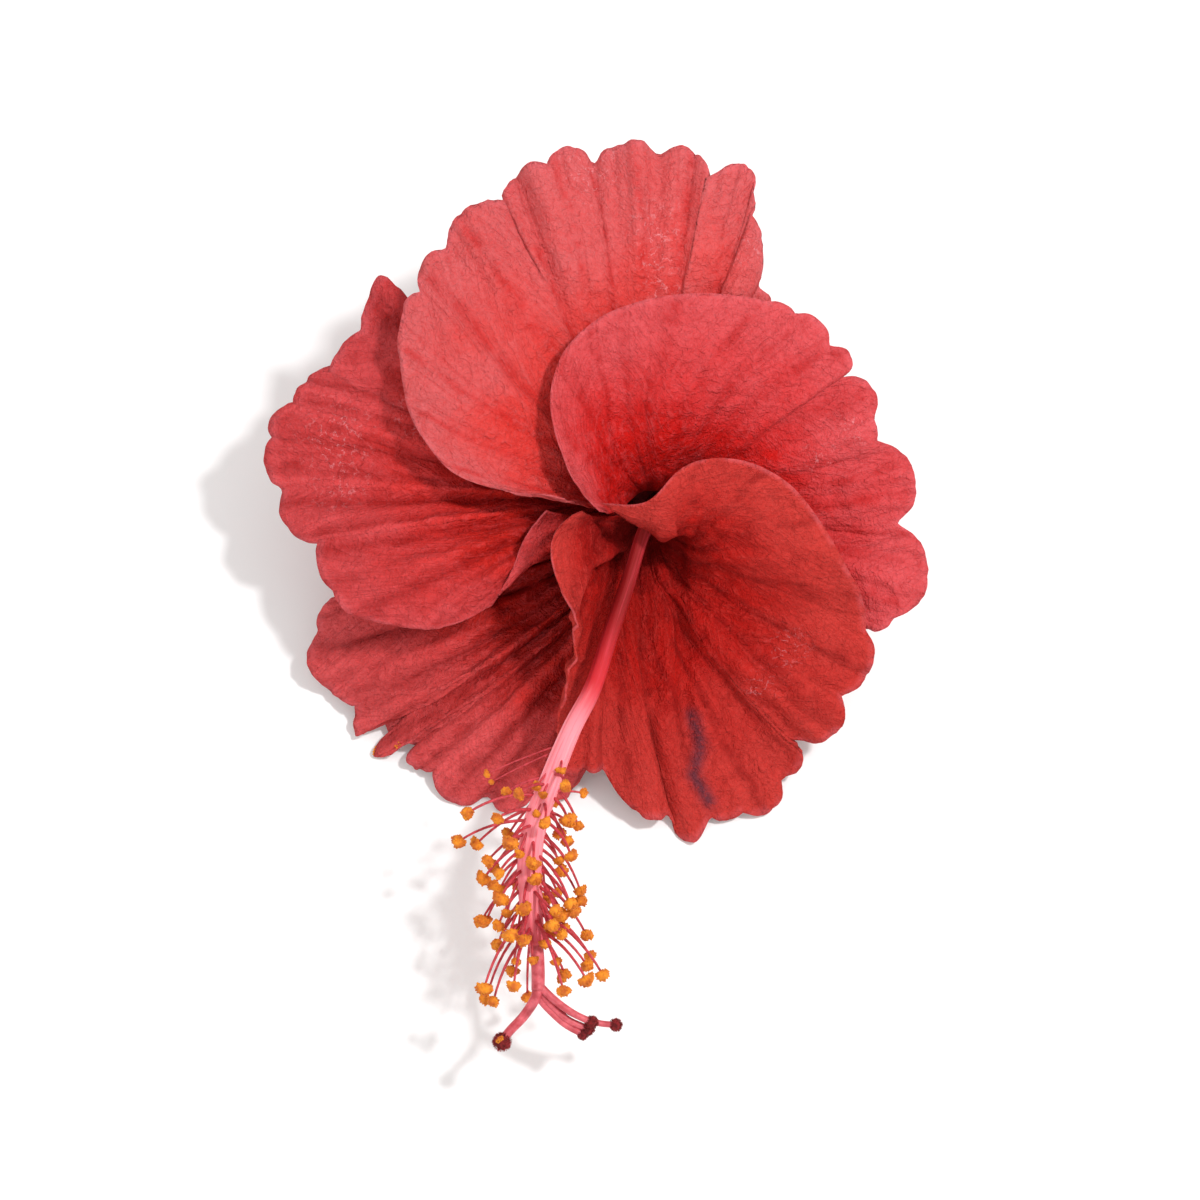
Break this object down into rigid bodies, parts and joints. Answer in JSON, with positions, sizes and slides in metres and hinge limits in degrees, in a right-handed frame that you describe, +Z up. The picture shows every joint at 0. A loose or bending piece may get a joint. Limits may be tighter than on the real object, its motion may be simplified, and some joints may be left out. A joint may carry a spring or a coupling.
{
  "type": "hibiscus flower",
  "caption": "Open red hibiscus bloom with overlapping ruffled petals, a long arched staminal column with anthers and forked stigmas, green calyx and cut stalk, lying face up.",
  "frame": {"origin": "on the surface that the flower lies on, under the middle of its bounding box", "axes": "+Z up from the surface, +Y from the column's tip towards the top petal, +X to the right seen from above"},
  "size_m": [0.119, 0.1532, 0.0587],
  "materials": {
    "petal": "soft satin red petal with darker veins and paler rim",
    "column": "smooth pink to deep red, streaked along its length",
    "anther": "matte orange, covered with pollen grains",
    "style": "smooth rose pink",
    "stigma": "dark red velvet",
    "sepal": "matte yellow-green with fine ribs and short hairs",
    "stalk": "matte green with a brownish flush"
  },
  "bodies": {
    "root": {"petal_front": "petal", "petal_right": "petal", "petal_top": "petal", "petal_left": "petal", "petal_lower": "petal", "staminal_column": "column", "style_and_stigmas": "style", "calyx": "sepal", "epicalyx": "sepal", "pedicel": "stalk"}
  },
  "joints": []
}
